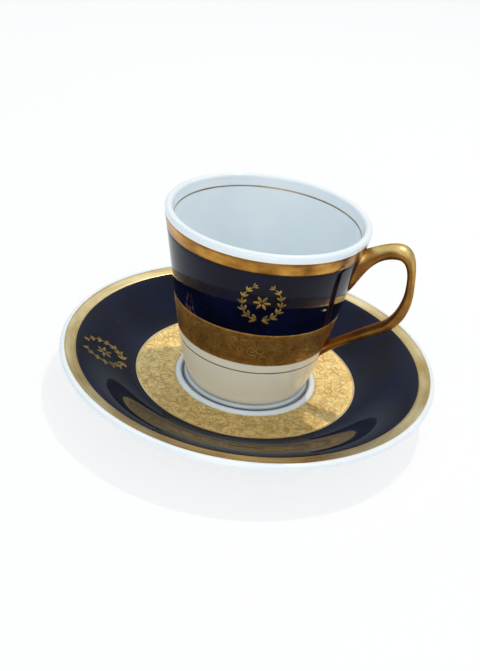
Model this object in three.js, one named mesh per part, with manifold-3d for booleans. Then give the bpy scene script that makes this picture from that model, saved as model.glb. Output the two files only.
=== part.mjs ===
// A porcelain coffee cup with a gilt strap handle, standing in the well of its saucer.
// Millimetres, +Z up: the saucer stands on z = 0 and the handle points along +X.

import * as THREE from 'three';
import { mergeVertices } from 'three/addons/utils/BufferGeometryUtils.js';
import Module from 'manifold-3d';

const wasm = await Module();
wasm.setup();

// Facets round a turned piece, a multiple of four so that its widest points lie on the axes
const turnedFacets = 48;
const lipFacets = 8;

// Fired-on bands lie in a shallow recess, flush with the glaze round them
const bandDepth = 0.3;
const bandSeat = 0.05;

// Cup, with heights above the underside of its foot
const cupHeight = 59.3;
const rimRadius = 31.3;
const wallThickness = 2.4;
const shoulderHeight = 19;
const shoulderRadius = 24;
const waistRadius = 19.9;
const cupFootRadius = 20.3;
const cupFootWidth = 3.8;
const cupFootBead = 1.8;
const cupFootGroove = 0.5;
const cupFootRecess = 1.5;
const cupFootDraft = 0.5;
const cupFloorThickness = 3.3;
const cupFloorRadius = 10;
const cupFloorRise = 12;

// Cup decoration: what is low on the wall is set out from the foot, what is high from the rim
const footLineLow = 16.1;
const footLineWidth = 0.5;
const whiteStripWidth = 2.8;
const cupEtchedWidth = 11.9;
const rimBandDrop = 6.4;
const whiteLipDrop = 2.3;
const innerLineDrop = 3.6;
const innerLineWidth = 0.5;

// Handle: a strap lofted between an outer and an inner edge, with its roots trimmed to the cup's wall
const handleDrop = 0.2;
const handleReach = 15.8;
const handleSideDrop = 13.5;
const handleCrestReach = 9.3;
const handleCrestThickness = 4.4;
const handleSideThickness = 2.5;
const handleArmThickness = 3.3;
const handleElbowInset = 6;
const handleElbowHeight = 30;
const handleArmPitch = 36;
const handleUpperRootDrop = 4.9;
const handleUpperRootLength = 15;
const handleLowerRootHeight = 13.9;
const handleLowerRootLength = 6.5;
const handleRootSink = 1;
const handleRootWidth = 4.6;
const handleCrestWidth = 5.8;
const handleSideWidth = 5;
const handleJoint = 0.3;
const handleRoundness = 2.8;
const handleSides = 16;
const handleSteps = 9;

// Saucer, with heights above the surface that it stands on
const saucerRadius = 60.7;
const saucerHeight = 15;
const saucerThickness = 2.9;
const saucerLipThickness = 2.1;
const saucerFloorThickness = 2.7;
const wellFloorHeight = 4;
const wellClearance = 0.6;
const wellBeadWidth = 2.4;
const wellBeadHeight = 1.25;
const saucerFootRadius = 35.6;
const saucerFootWidth = 3;
const saucerFootRound = 0.5;
const saucerFootDraft = 0.7;
const rimSlope = 0.24;

// Saucer decoration: the etched ring is set out from the well, the gold rim from the lip
const saucerEtchedWidth = 12.3;
const saucerEtchedStep = 0.5;
const saucerEtchedRise = 1.1;
const edgeLineWidth = 0.6;
const saucerRimBandWidth = 3.6;
const rimBandMargin = 0.2;
const cobaltFacets = 9;
const undersideFacets = 6;

const porcelain = { color: 0xf2f3f1, roughness: 0.12, metalness: 0 };
const cobalt = { color: 0x0b0d24, roughness: 0.08, metalness: 0 };
const burnishedGold = { color: 0xb98a3c, roughness: 0.2, metalness: 1 };
const etchedGold = { color: 0xc6a257, roughness: 0.42, metalness: 1 };

const point = (radius, height) => new THREE.Vector2(radius, height);
const radians = THREE.MathUtils.degToRad;
const lerp = THREE.MathUtils.lerp;

const range = (from, to, steps) => Array.from({ length: steps + 1 }, (_, i) => lerp(from, to, i / steps));

function piece(name, geometry, finish) {
  const mesh = new THREE.Mesh(geometry, new THREE.MeshStandardMaterial(finish));
  mesh.name = name;
  return mesh;
}

// Turns a profile about the Z axis. A profile that misses the axis is closed on itself.
function turned(profile) {
  const ccw = THREE.ShapeUtils.area(profile) > 0 ? [...profile] : [...profile].reverse();
  const onAxis = ccw[0].x === 0 && ccw.at(-1).x === 0;
  const outline = onAxis ? ccw : [...ccw, ccw[0].clone()];
  return new THREE.LatheGeometry(outline, turnedFacets).rotateX(Math.PI / 2);
}

// Moves a line of points sideways, to its right, by a distance
function shifted(line, distance) {
  return line.map((p, i) => {
    const before = line[Math.max(i - 1, 0)];
    const after = line[Math.min(i + 1, line.length - 1)];
    const along = after.clone().sub(before).normalize();
    return point(p.x + along.y * distance, p.y - along.x * distance);
  });
}

// A thin ring that fills its recess flush with the surface line, whose right side is open air
function band(name, surface, finish) {
  const back = shifted(surface, bandSeat - bandDepth);
  return piece(name, turned([...surface, ...back.reverse()]), finish);
}

function arc(centre, radius, fromAngle, toAngle, steps) {
  return range(fromAngle, toAngle, steps).map((angle) =>
    point(centre.x + radius * Math.cos(radians(angle)), centre.y + radius * Math.sin(radians(angle))));
}

// Cup wall: a straight taper down to the shoulder, then a curve that draws in to the waist
const lipRadius = wallThickness / 2;
const lipHeight = cupHeight - lipRadius;
const wallSlope = (rimRadius - shoulderRadius) / (lipHeight - shoulderHeight);
const waistHeight = cupFootBead + cupFootGroove;
const waistDrop = shoulderHeight - waistHeight;
const waistCurve = (shoulderRadius - wallSlope * waistDrop - waistRadius) / waistDrop ** 2;

function wallRadius(height) {
  const drop = Math.max(shoulderHeight - height, 0);
  return rimRadius - (lipHeight - height) * wallSlope - waistCurve * drop ** 2;
}

const wallPoint = (height, stand = 0) => point(wallRadius(height) + stand, height);
const lipCentre = point(rimRadius - lipRadius, lipHeight);

const footLineTop = footLineLow + footLineWidth;
const etchedLow = footLineTop + whiteStripWidth;
const cobaltLow = etchedLow + cupEtchedWidth;
const rimBandLow = cupHeight - rimBandDrop;
const rimBandTop = cupHeight - whiteLipDrop;
const innerLineTop = cupHeight - innerLineDrop;
const innerLineLow = innerLineTop - innerLineWidth;

function cupBodyProfile() {
  const beadRadius = cupFootBead / 2;
  const beadCentre = point(cupFootRadius - beadRadius, beadRadius);
  const innerPoint = (height) => wallPoint(height, -wallThickness);
  const cupFootInnerRadius = cupFootRadius - cupFootWidth;
  const cupFloorHeight = cupFootRecess + cupFloorThickness;
  const floorTurn = new THREE.QuadraticBezierCurve(
    innerPoint(cupFloorHeight + cupFloorRise),
    point(wallRadius(cupFloorHeight) - wallThickness, cupFloorHeight),
    point(cupFloorRadius, cupFloorHeight),
  );
  const footLine = [wallPoint(footLineLow), wallPoint(footLineTop)];
  const bands = [wallPoint(etchedLow), wallPoint(rimBandTop)];
  const innerLine = [innerPoint(innerLineTop), innerPoint(innerLineLow)];
  const recess = (line) => [line[0], ...shifted(line, -bandDepth), line.at(-1)];
  return [
    point(0, cupFootRecess),
    point(cupFootInnerRadius - cupFootDraft, cupFootRecess),
    point(cupFootInnerRadius, 0),
    ...arc(beadCentre, beadRadius, -90, 90, 6),
    ...range(waistHeight, footLineLow, 4).slice(0, -1).map((height) => wallPoint(height)),
    ...recess(footLine),
    ...recess(bands),
    ...arc(lipCentre, lipRadius, 0, 180, lipFacets),
    ...recess(innerLine),
    ...floorTurn.getPoints(6),
    point(0, cupFloorHeight),
  ];
}

// One edge of the strap: Bezier stretches through knots, each with a heading in degrees. A knot's
// fullness on either side is the share of the chord over which the edge keeps to that heading.
function edgeStretches(knots) {
  return knots.slice(1).map((end, i) => {
    const start = knots[i];
    const chord = end.at.distanceTo(start.at);
    const pull = (heading, fullness) => point(Math.cos(radians(heading)), Math.sin(radians(heading)))
      .multiplyScalar(chord * fullness);
    return new THREE.CubicBezierCurve(
      start.at,
      start.at.clone().add(pull(start.heading, start.leave)),
      end.at.clone().sub(pull(end.heading, end.arrive)),
      end.at,
    );
  });
}

function handleStrap() {
  const crestHeight = cupHeight - handleDrop;
  const sideHeight = crestHeight - handleSideDrop;
  const sideRadius = rimRadius + handleReach;
  const crestRadius = rimRadius + handleCrestReach;
  const upperRootTop = cupHeight - handleUpperRootDrop;
  const upperRootLow = upperRootTop - handleUpperRootLength;
  const lowerRootTop = handleLowerRootHeight + handleLowerRootLength;
  const armHeading = handleArmPitch - 180;
  const elbow = point(sideRadius - handleElbowInset, handleElbowHeight);
  const armNormal = radians(handleArmPitch + 90);
  const elbowInside = point(
    elbow.x + handleArmThickness * Math.cos(armNormal),
    elbow.y + handleArmThickness * Math.sin(armNormal),
  );
  const outer = edgeStretches([
    { at: wallPoint(upperRootTop, -handleRootSink), heading: 32, leave: 0.4 },
    { at: point(crestRadius, crestHeight), heading: 0, arrive: 0.27, leave: 0.34 },
    { at: point(sideRadius, sideHeight), heading: -84, arrive: 0.48, leave: 0.42 },
    { at: elbow, heading: armHeading, arrive: 0.34, leave: 0.38 },
    { at: wallPoint(handleLowerRootHeight, -handleRootSink), heading: -123, arrive: 0.32 },
  ]);
  const inner = edgeStretches([
    { at: wallPoint(upperRootLow, -handleRootSink), heading: 20, leave: 0.2 },
    { at: point(crestRadius, crestHeight - handleCrestThickness), heading: 6, arrive: 0.46, leave: 0.3 },
    { at: point(sideRadius - handleSideThickness, sideHeight), heading: -90, arrive: 0.54, leave: 0.29 },
    { at: elbowInside, heading: armHeading, arrive: 0.34, leave: 0.33 },
    { at: wallPoint(lowerRootTop, -handleRootSink), heading: armHeading, arrive: 0.27 },
  ]);
  const widths = [handleRootWidth, handleCrestWidth, handleSideWidth, handleSideWidth, handleRootWidth];
  const sections = outer.flatMap((stretch, i) => {
    const last = i === outer.length - 1;
    return range(0, 1, handleSteps).slice(0, last ? undefined : -1).map((t) =>
      strapSection(stretch.getPoint(t), inner[i].getPoint(t), lerp(widths[i], widths[i + 1], t) / 2));
  });
  return loft(sections);
}

// A rounded section between an outer and an inner edge point
function strapSection(outer, inner, halfWidth) {
  const middle = outer.clone().add(inner).multiplyScalar(0.5);
  const halfDepth = outer.clone().sub(middle);
  const rounded = (value) => Math.sign(value) * Math.abs(value) ** (2 / handleRoundness);
  return Array.from({ length: handleSides }, (_, k) => {
    const angle = (2 * Math.PI * k) / handleSides;
    const across = rounded(Math.cos(angle));
    return new THREE.Vector3(
      middle.x + halfDepth.x * across,
      halfWidth * rounded(Math.sin(angle)),
      middle.y + halfDepth.y * across,
    );
  });
}

// A closed skin over a row of sections that all have the same number of points
function loft(sections) {
  const sides = sections[0].length;
  const vertices = sections.flat();
  const index = [];
  for (let s = 0; s < sections.length - 1; s += 1) {
    for (let k = 0; k < sides; k += 1) {
      const a = s * sides + k;
      const b = s * sides + ((k + 1) % sides);
      index.push(a, a + sides, b, b, a + sides, b + sides);
    }
  }
  const lastRing = (sections.length - 1) * sides;
  for (let k = 1; k < sides - 1; k += 1) {
    index.push(0, k, k + 1, lastRing, lastRing + k + 1, lastRing + k);
  }
  const geometry = new THREE.BufferGeometry().setFromPoints(vertices);
  geometry.setIndex(index);
  return geometry;
}

function toSolid(geometry) {
  const bare = geometry.clone();
  bare.deleteAttribute('normal');
  bare.deleteAttribute('uv');
  const merged = mergeVertices(bare, 1e-4);
  const corners = merged.index.array;
  const triVerts = [];
  for (let i = 0; i < corners.length; i += 3) {
    const [a, b, c] = corners.slice(i, i + 3);
    if (a !== b && b !== c && c !== a) triVerts.push(a, b, c);
  }
  return new wasm.Manifold(new wasm.Mesh({
    numProp: 3,
    vertProperties: new Float32Array(merged.attributes.position.array),
    triVerts: new Uint32Array(triVerts),
  }));
}

function fromSolid(solid) {
  const { vertProperties, triVerts } = solid.getMesh();
  const geometry = new THREE.BufferGeometry();
  geometry.setAttribute('position', new THREE.BufferAttribute(vertProperties, 3));
  geometry.setIndex(new THREE.BufferAttribute(triVerts, 1));
  geometry.computeVertexNormals();
  return geometry;
}

// The strap with everything cut away that would reach into the wall, less the joint's thickness
function handleGeometry() {
  const heights = [0, ...range(waistHeight, shoulderHeight, 6), lipHeight, cupHeight];
  const wall = heights.map((height) => wallPoint(Math.min(height, lipHeight), handleJoint).setY(height));
  const plug = turned([point(0, 0), ...wall, point(0, cupHeight)]);
  return fromSolid(toSolid(handleStrap()).subtract(toSolid(plug)));
}

function cup() {
  const group = new THREE.Group();
  group.position.z = wellFloorHeight;
  const wallBand = (name, low, high, finish) =>
    band(name, [wallPoint(low + bandSeat), wallPoint(high - bandSeat)], finish);
  const innerLine = [innerLineTop - bandSeat, innerLineLow + bandSeat]
    .map((height) => wallPoint(height, -wallThickness));
  group.add(
    piece('cup_body', turned(cupBodyProfile()), porcelain),
    piece('cup_handle', handleGeometry(), burnishedGold),
    wallBand('cup_rim_band', rimBandLow, rimBandTop, burnishedGold),
    wallBand('cup_cobalt_band', cobaltLow, rimBandLow, cobalt),
    wallBand('cup_etched_band', etchedLow, cobaltLow, etchedGold),
    wallBand('cup_foot_line', footLineLow, footLineTop, burnishedGold),
    band('cup_inner_line', innerLine, burnishedGold),
  );
  return group;
}

// Saucer top: a dished etched ring, a cobalt slope that rises in an S curve, and a shallow rim
const wellRadius = cupFootRadius + wellClearance;
const etchedInnerRadius = wellRadius + wellBeadWidth;
const etchedInnerHeight = wellFloorHeight + saucerEtchedStep;
const etchedOuterRadius = etchedInnerRadius + saucerEtchedWidth;
const etchedSlope = saucerEtchedRise / saucerEtchedWidth;
const cobaltInnerRadius = etchedOuterRadius + edgeLineWidth;
const cobaltInnerHeight = etchedInnerHeight + (cobaltInnerRadius - etchedInnerRadius) * etchedSlope;

const saucerLipRadius = saucerLipThickness / 2;
const rimPitch = THREE.MathUtils.radToDeg(Math.atan(rimSlope));
const saucerLipCentre = point(saucerRadius - saucerLipRadius, saucerHeight - saucerLipRadius);
const [lipStart] = arc(saucerLipCentre, saucerLipRadius, rimPitch + 90, rimPitch - 90, lipFacets);
const rimBandOuterRadius = lipStart.x - rimBandMargin;
const cobaltOuterRadius = rimBandOuterRadius - saucerRimBandWidth;
const cobaltOuterHeight = lipStart.y - (lipStart.x - cobaltOuterRadius) * rimSlope;

function saucerTop(radius) {
  if (radius <= cobaltInnerRadius) {
    return point(radius, cobaltInnerHeight + (radius - cobaltInnerRadius) * etchedSlope);
  }
  if (radius >= cobaltOuterRadius) {
    return point(radius, cobaltOuterHeight + (radius - cobaltOuterRadius) * rimSlope);
  }
  const width = cobaltOuterRadius - cobaltInnerRadius;
  const t = (radius - cobaltInnerRadius) / width;
  const rise = (3 - 2 * t) * t ** 2;
  const startBend = t * (1 - t) ** 2 * width * etchedSlope;
  const endBend = t ** 2 * (1 - t) * width * rimSlope;
  return point(radius, lerp(cobaltInnerHeight, cobaltOuterHeight, rise) + startBend - endBend);
}

// Runs inwards, so that the open air above lies on the right of the line
const saucerLine = (outerRadius, innerRadius, steps) => range(outerRadius, innerRadius, steps).map(saucerTop);

function saucerBodyProfile() {
  const cobaltLine = saucerLine(cobaltOuterRadius, cobaltInnerRadius, cobaltFacets);
  const bands = [saucerTop(rimBandOuterRadius), ...cobaltLine, saucerTop(etchedInnerRadius)];
  const slopeLine = saucerLine(cobaltOuterRadius, saucerFootRadius + saucerFootDraft, undersideFacets);
  const thin = shifted(slopeLine, -saucerLipThickness);
  const thick = shifted(slopeLine, -saucerThickness);
  const underside = thin.map((p, i) => p.lerp(thick[i], i / undersideFacets));
  const beadHalf = wellBeadWidth / 2;
  const bead = range(0, 180, 6).slice(1, -1).map((angle) => point(
    wellRadius + beadHalf + beadHalf * Math.cos(radians(angle)),
    wellFloorHeight + wellBeadHeight * Math.sin(radians(angle)),
  ));
  const footInside = saucerFootRadius - saucerFootWidth;
  const saucerFootRecess = wellFloorHeight - saucerFloorThickness;
  return [
    point(0, saucerFootRecess),
    point(footInside - saucerFootDraft, saucerFootRecess),
    point(footInside, saucerFootRound),
    point(footInside + saucerFootRound, 0),
    point(saucerFootRadius - saucerFootRound, 0),
    point(saucerFootRadius, saucerFootRound),
    ...underside.reverse(),
    ...arc(saucerLipCentre, saucerLipRadius, rimPitch - 90, rimPitch + 90, lipFacets),
    bands[0],
    ...shifted(bands, -bandDepth),
    bands.at(-1),
    ...bead,
    point(wellRadius, wellFloorHeight),
    point(0, wellFloorHeight),
  ];
}

function saucer() {
  const group = new THREE.Group();
  const topBand = (name, outerRadius, innerRadius, steps, finish) =>
    band(name, saucerLine(outerRadius - bandSeat, innerRadius + bandSeat, steps), finish);
  group.add(
    piece('saucer_body', turned(saucerBodyProfile()), porcelain),
    topBand('saucer_rim_band', rimBandOuterRadius, cobaltOuterRadius, 1, burnishedGold),
    topBand('saucer_cobalt_band', cobaltOuterRadius, cobaltInnerRadius, cobaltFacets, cobalt),
    topBand('saucer_edge_line', cobaltInnerRadius, etchedOuterRadius, 1, burnishedGold),
    topBand('saucer_etched_band', etchedOuterRadius, etchedInnerRadius, 1, etchedGold),
  );
  return group;
}

const part = new THREE.Group();
part.add(saucer(), cup());

export default part;
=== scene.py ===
import math
from functools import partial

import bpy
from mathutils import Matrix, Vector


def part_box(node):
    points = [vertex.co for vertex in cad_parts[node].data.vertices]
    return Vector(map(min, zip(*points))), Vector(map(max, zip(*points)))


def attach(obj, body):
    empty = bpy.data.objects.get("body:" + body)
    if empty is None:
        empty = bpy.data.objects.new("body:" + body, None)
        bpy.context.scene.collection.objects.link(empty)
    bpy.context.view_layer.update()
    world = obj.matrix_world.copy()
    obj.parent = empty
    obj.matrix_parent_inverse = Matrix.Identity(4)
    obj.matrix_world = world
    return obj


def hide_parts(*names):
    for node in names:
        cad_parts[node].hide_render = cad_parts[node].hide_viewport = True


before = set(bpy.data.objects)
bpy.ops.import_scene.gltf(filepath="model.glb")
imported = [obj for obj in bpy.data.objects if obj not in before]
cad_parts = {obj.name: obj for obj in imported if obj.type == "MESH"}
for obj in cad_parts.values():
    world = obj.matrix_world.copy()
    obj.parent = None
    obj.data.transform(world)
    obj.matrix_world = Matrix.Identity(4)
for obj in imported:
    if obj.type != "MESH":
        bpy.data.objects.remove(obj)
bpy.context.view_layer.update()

mm = 0.001
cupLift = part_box("cup_body")[0].z  # the cup stands this high, on the floor of the saucer's well
noiseSpan = (0.3, 0.7)  # noise hardly leaves these values, so patterns run from the one to the other


# sRGB hex to the linear colour that the nodes take
def linear(hexColour):
    channels = [int(hexColour[i:i + 2], 16) / 255 for i in (1, 3, 5)]
    return [c / 12.92 if c <= 0.04045 else ((c + 0.055) / 1.055) ** 2.4 for c in channels] + [1.0]


# a node's inputs, by name or in order: links, hex colours or plain values
def setInputs(node, inputs):
    for key, value in inputs.items() if isinstance(inputs, dict) else enumerate(inputs):
        if isinstance(value, bpy.types.NodeSocket):
            node.id_data.links.new(value, node.inputs[key])
        else:
            node.inputs[key].default_value = linear(value) if isinstance(value, str) else value


# adds one node with its settings and inputs, and gives its outputs
def addNode(tree, kind, inputs=(), **settings):
    node = tree.nodes.new(kind)
    for name, value in settings.items():
        setattr(node, name, value)
    setInputs(node, inputs)
    return node.outputs


# how often a pattern repeats per metre, from the size of one repeat in millimetres
def perMetre(sizeMm):
    return 1 / (sizeMm * mm)


def newFinish(name, colour, metallic, roughness):
    finish = bpy.data.materials.new(name)
    finish.use_nodes = True
    shader = finish.node_tree.nodes["Principled BSDF"]
    setInputs(shader, {"Base Color": colour, "Metallic": metallic, "Roughness": roughness})
    return finish, partial(addNode, finish.node_tree), shader


# a colour that wanders between two tones, in patches of a size in millimetres
def wanderTone(add, place, sizeMm, detail, low, high):
    patch = add("ShaderNodeTexNoise", {"Vector": place, "Scale": perMetre(sizeMm), "Detail": detail})
    share = add("ShaderNodeMapRange", (patch[0], *noiseSpan))
    return add("ShaderNodeMix", {"Factor": share[0], 6: low, 7: high}, data_type="RGBA")[2]


# the faint ripple that a glaze keeps from its firing
def glazeRipple(add, place, sizeMm, bump):
    ripple = add("ShaderNodeTexNoise", {"Vector": place, "Scale": perMetre(sizeMm), "Detail": 1})
    return add("ShaderNodeBump", {"Height": ripple[0], **bump})[0]


# feldspar glaze over white porcelain: cool white, glassy, with a faint ripple, a blue tinge in places and
# painted grey shade in the crevices round the foot. The cup's lower outer wall has a painted warm bounce
# light. In all the looks, patterns are in millimetres, and a bump is a strength and a depth
porcelainLook = {"white": "#f4f9fb", "pooled": "#e8f1f5", "paintedBounce": "#f0eddd", "creviceShade": "#5f594b", "tone": 22,
                 "ripple": 5, "roughness": 0.07, "bump": {"Strength": 0.06, "Distance": 0.3 * mm}}


def makePorcelain():
    look = porcelainLook
    finish, add, shader = newFinish("glazed_porcelain", look["white"], 0, look["roughness"])
    place = add("ShaderNodeTexCoord")["Object"]
    shown = wanderTone(add, place, look["tone"], 2, look["pooled"], look["white"])
    # the cup's lower wall takes a painted warm bounce light, the crevices a painted shade
    for tint, mark in (("paintedBounce", "lower"), ("creviceShade", "crevice")):
        share = add("ShaderNodeAttribute", attribute_name=mark)["Fac"]
        shown = add("ShaderNodeMix", {"Factor": share, 6: shown, 7: look[tint]}, data_type="RGBA")[2]
    setInputs(shader, {"Base Color": shown, "Normal": glazeRipple(add, place, look["ripple"], look["bump"])})
    return finish


# unglazed biscuit where a foot ring was ground flat: chalky, a little grey from use
biscuitLook = {"clean": "#e2ded4", "soiled": "#bdb6a8", "grit": 0.5, "roughness": 0.75,
               "bump": {"Strength": 0.3, "Distance": 0.05 * mm}}


def makeBiscuit():
    look = biscuitLook
    finish, add, shader = newFinish("ground_biscuit", look["clean"], 0, look["roughness"])
    place = add("ShaderNodeTexCoord")["Object"]
    wearAndPaintedLight = wanderTone(add, place, look["grit"], 4, look["clean"], look["soiled"])
    grit = add("ShaderNodeTexNoise", {"Vector": place, "Scale": perMetre(look["grit"]), "Detail": 4})[0]
    bump = add("ShaderNodeBump", {"Height": grit, **look["bump"]})[0]
    setInputs(shader, {"Base Color": wearAndPaintedLight, "Normal": bump})
    return finish


# cobalt underglaze: nearly black blue with slow tone changes, a glassy top coat and a few dust specks
cobaltLook = {"deep": "#05060f", "blue": "#0d112e", "dust": "#4f5368", "tone": 14, "ripple": 7, "speck": 2.6,
              "speckEdge": (0.03, 0.07), "speckRarity": 0.72, "roughness": 0.05, "gloss": 0.14,
              "bump": {"Strength": 0.05, "Distance": 0.3 * mm}}


def makeCobalt():
    look = cobaltLook
    finish, add, shader = newFinish("cobalt_glaze", look["deep"], 0, look["roughness"])
    place = add("ShaderNodeTexCoord")["Object"]
    ground = wanderTone(add, place, look["tone"], 3, look["deep"], look["blue"])
    speck = add("ShaderNodeTexVoronoi", {"Vector": place, "Scale": perMetre(look["speck"])})
    near = add("ShaderNodeMapRange", (speck["Distance"], *look["speckEdge"], 1, 0))[0]
    rare = add("ShaderNodeMath", (speck["Color"], look["speckRarity"]), operation="GREATER_THAN")[0]
    dust = add("ShaderNodeMath", (near, rare), operation="MULTIPLY")[0]
    shown = add("ShaderNodeMix", {"Factor": dust, 6: ground, 7: look["dust"]}, data_type="RGBA")[2]
    setInputs(shader, {"Base Color": shown, "Specular IOR Level": look["gloss"],
                       "Normal": glazeRipple(add, place, look["ripple"], look["bump"])})
    return finish


# position round the axis for lines that run along a turned band: unit circle times length, across times width
def ringPlace(add, alongMm, acrossMm, radiusMm):
    place = add("ShaderNodeTexCoord")["Object"]
    x, y, z = add("ShaderNodeSeparateXYZ", (place,))
    flat = add("ShaderNodeCombineXYZ", (x, y))[0]
    unit = add("ShaderNodeVectorMath", (flat,), operation="NORMALIZE")[0]
    radius = add("ShaderNodeVectorMath", (flat,), operation="LENGTH")["Value"]
    across = add("ShaderNodeMath", (radius, z), operation="ADD")[0]
    crossLines = add("ShaderNodeMath", (across, perMetre(acrossMm)), operation="MULTIPLY")[0]
    lift = add("ShaderNodeCombineXYZ", {2: crossLines})[0]
    length = (radiusMm / alongMm,) * 3
    return add("ShaderNodeVectorMath", (unit, length, lift), operation="MULTIPLY_ADD")[0]


# liquid gold brushed on while the piece turned: fuller and thinner patches, fine streaks that run round, and
# a thinner film towards the two edges. Patches and streaks are given by length and width
ringWear = {"middle": 0.5, "ragged": -0.3, "fade": (0.1, 0.38),
            "bump": {"Strength": 0.1, "Distance": 0.08 * mm}}


def makeRingGold(name, look):
    finish, add, shader = newFinish(name, look["full"], 1, look["smooth"])
    places = [ringPlace(add, *look[lines], look["radius"]) for lines in ("patch", "streak")]
    patch, streak = (add("ShaderNodeTexNoise", {"Vector": place, "Scale": 1, "Detail": 3})[0]
                     for place in places)
    across = add("ShaderNodeAttribute", attribute_name="across")["Fac"]
    edge = add("ShaderNodeMath", (across, ringWear["middle"]), operation="SUBTRACT")[0]
    edge = add("ShaderNodeMath", (edge,), operation="ABSOLUTE")[0]
    edge = add("ShaderNodeMath", (patch, ringWear["ragged"], edge), operation="MULTIPLY_ADD")[0]
    faded = add("ShaderNodeMapRange", (edge, *ringWear["fade"], 1, look["edge"]))[0]
    share = add("ShaderNodeMapRange", (patch, *noiseSpan))[0]
    film = add("ShaderNodeMath", (share, faded), operation="MULTIPLY")[0]
    tone = add("ShaderNodeMix", {"Factor": film, 6: look["thin"], 7: look["full"]}, data_type="RGBA")[2]
    rough = add("ShaderNodeMapRange", (streak, *noiseSpan, look["dull"], look["smooth"]))[0]
    bump = add("ShaderNodeBump", {"Height": streak, **ringWear["bump"]})[0]
    setInputs(shader, {"Base Color": tone, "Roughness": rough, "Normal": bump})
    return finish


# the cup's rim is burnished and warm, the saucer's is rubbed pale, the hair line above the foot is thin and
# warm, and the one inside the cup is worn grey
cupRimLook = {"thin": "#6f471b", "full": "#d09b49", "patch": (9, 6), "streak": (16, 0.7), "radius": 31,
              "smooth": 0.16, "dull": 0.3, "edge": 0.25}
saucerRimLook = {"thin": "#c2a263", "full": "#f0dcaa", "patch": (16, 6), "streak": (24, 0.8), "radius": 58,
                 "smooth": 0.22, "dull": 0.38, "edge": 0.3}
footLineLook = {"thin": "#a07c46", "full": "#d3b076", "patch": (8, 2), "streak": (20, 0.4), "radius": 24,
                "smooth": 0.34, "dull": 0.5, "edge": 1.0}
innerLineLook = {"thin": "#8f7f66", "full": "#b7a88c", "patch": (8, 2), "streak": (20, 0.4), "radius": 28,
                 "smooth": 0.4, "dull": 0.55, "edge": 1.0}

# gilding on the handle, with painted light: pale along its outer face as a painted highlight, and brown on
# its sides and inside the loop as painted shade, each in a thinner and a fuller tone
handleGoldLook = {"inside": ("#7d5724", "#a07236"), "side": ("#6e4922", "#986c32"),
                  "paintedHighlight": ("#d0a95c", "#efd48f"), "glancing": "#a87d42", "sideFrom": (-0.7, 0.1),
                  "paintedHighlightFrom": (0.4, 0.9), "patch": 5, "rubAndPaintedLight": 0.6, "cover": 0.8, "smooth": 0.26, "dull": 0.4,
                  "bump": {"Strength": 0.06, "Distance": 0.1 * mm}}


def makeHandleGold():
    look = handleGoldLook
    finish, add, shader = newFinish("burnished_gold_handle", look["side"][0], look["cover"], look["smooth"])
    place = add("ShaderNodeTexCoord")["Object"]
    outward = add("ShaderNodeAttribute", attribute_name="outward")["Fac"]
    # painted shade brown inside the loop and on the sides, a painted highlight pale on the outer face
    tone = wanderTone(add, place, look["patch"], 3, *look["inside"])
    for face in ("side", "paintedHighlight"):
        share = add("ShaderNodeMapRange", (outward, *look[face + "From"]))[0]
        over = wanderTone(add, place, look["patch"], 3, *look[face])
        tone = add("ShaderNodeMix", {"Factor": share, 6: tone, 7: over}, data_type="RGBA")[2]
    rubAndPaintedLight = add("ShaderNodeTexNoise", {"Vector": place, "Scale": perMetre(look["rubAndPaintedLight"]), "Detail": 4})[0]
    rough = add("ShaderNodeMapRange", (rubAndPaintedLight, *noiseSpan, look["dull"], look["smooth"]))[0]
    bump = add("ShaderNodeBump", {"Height": rubAndPaintedLight, **look["bump"]})[0]
    setInputs(shader, {"Base Color": tone, "Roughness": rough, "Normal": bump,
                       "Specular Tint": look["glancing"]})
    return finish


# acid-etched gold: a frosted ground with fine wavy veins that run side by side, as in leaves. The stipple is
# drawn at twice its real size, to show
etching = {"stipple": 0.45, "stippleTo": 0.6, "tone": 3, "leaf": 5, "waviness": 0.8, "veinEdge": (0.1, 0.5),
           "veinRelief": 0.5, "frost": (-0.06, 0.1), "bump": {"Strength": 0.3, "Distance": 0.06 * mm}}


def makeEtchedGold(name, look):
    finish, add, shader = newFinish(name, look["pale"], 1, look["roughness"])
    place = add("ShaderNodeTexCoord")["Object"]
    ground = wanderTone(add, place, etching["tone"], 4, look["wearAndPaintedLight"], look["pale"])
    swirl = add("ShaderNodeTexNoise", {"Vector": place, "Scale": perMetre(etching["leaf"]),
                                       "Detail": 1, "Distortion": etching["waviness"]})[0]
    ridges = add("ShaderNodeMath", (swirl, look["veins"]), operation="MULTIPLY")[0]
    vein = add("ShaderNodeMath", (ridges, 1.0), operation="PINGPONG")[0]
    cut = add("ShaderNodeMapRange", (vein, *etching["veinEdge"], look["depth"], 0))[0]
    shown = add("ShaderNodeMix", {"Factor": cut, 6: ground, 7: look["vein"]}, data_type="RGBA")[2]
    stipple = add("ShaderNodeTexVoronoi", {"Vector": place,
                                           "Scale": perMetre(etching["stipple"])})["Distance"]
    frosted = [look["roughness"] + change for change in etching["frost"]]
    rough = add("ShaderNodeMapRange", (stipple, 0, etching["stippleTo"], *frosted))[0]
    grain = add("ShaderNodeMath", (vein, etching["veinRelief"], stipple), operation="MULTIPLY_ADD")[0]
    bump = add("ShaderNodeBump", {"Height": grain, **etching["bump"]})[0]
    setInputs(shader, {"Base Color": shown, "Roughness": rough, "Normal": bump})
    return finish


# the saucer's etched ring is pale and frosted, the cup's band smoother and painted browner as shade
saucerEtchedLook = {"pale": "#fde7a9", "wearAndPaintedLight": "#ecca82", "vein": "#b08d4c", "veins": 13, "depth": 0.5,
                    "roughness": 0.52}
cupEtchedLook = {"pale": "#cfa055", "wearAndPaintedLight": "#a97c3e", "vein": "#86602c", "veins": 14, "depth": 0.4,
                 "roughness": 0.36}


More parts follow.
